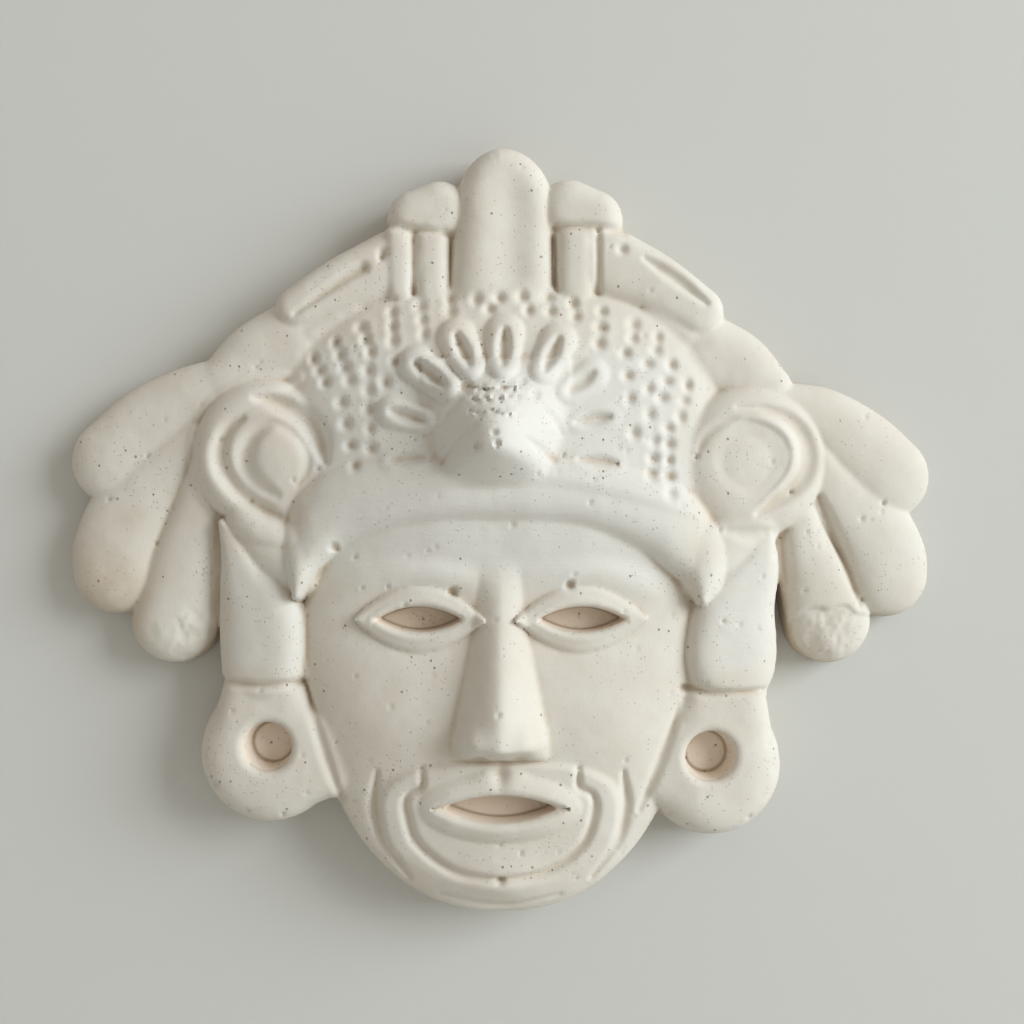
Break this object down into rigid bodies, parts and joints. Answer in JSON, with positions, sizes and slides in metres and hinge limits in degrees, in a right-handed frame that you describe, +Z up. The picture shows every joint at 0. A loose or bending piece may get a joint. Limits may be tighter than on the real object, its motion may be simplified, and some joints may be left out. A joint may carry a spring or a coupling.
{
  "type": "wall mask",
  "caption": "Cast plaster wall mask: face with sunk eyes and mouth under a headband, dimpled crest with animal head and petals, rosettes, feather wings, hollowed ear discs; flat back",
  "frame": {"origin": "on the flat back, in the middle of the mask's width, behind the headband", "axes": "+X along the width, to the viewer's right; +Y out of the back into the wall; +Z up; the carved front faces -Y"},
  "size_m": [0.2358, 0.0458, 0.2066],
  "materials": {
    "plaster": "matt, uncoated cast plaster, chalky, with small bubble holes"
  },
  "bodies": {
    "root": {"mask": "plaster"}
  },
  "joints": []
}
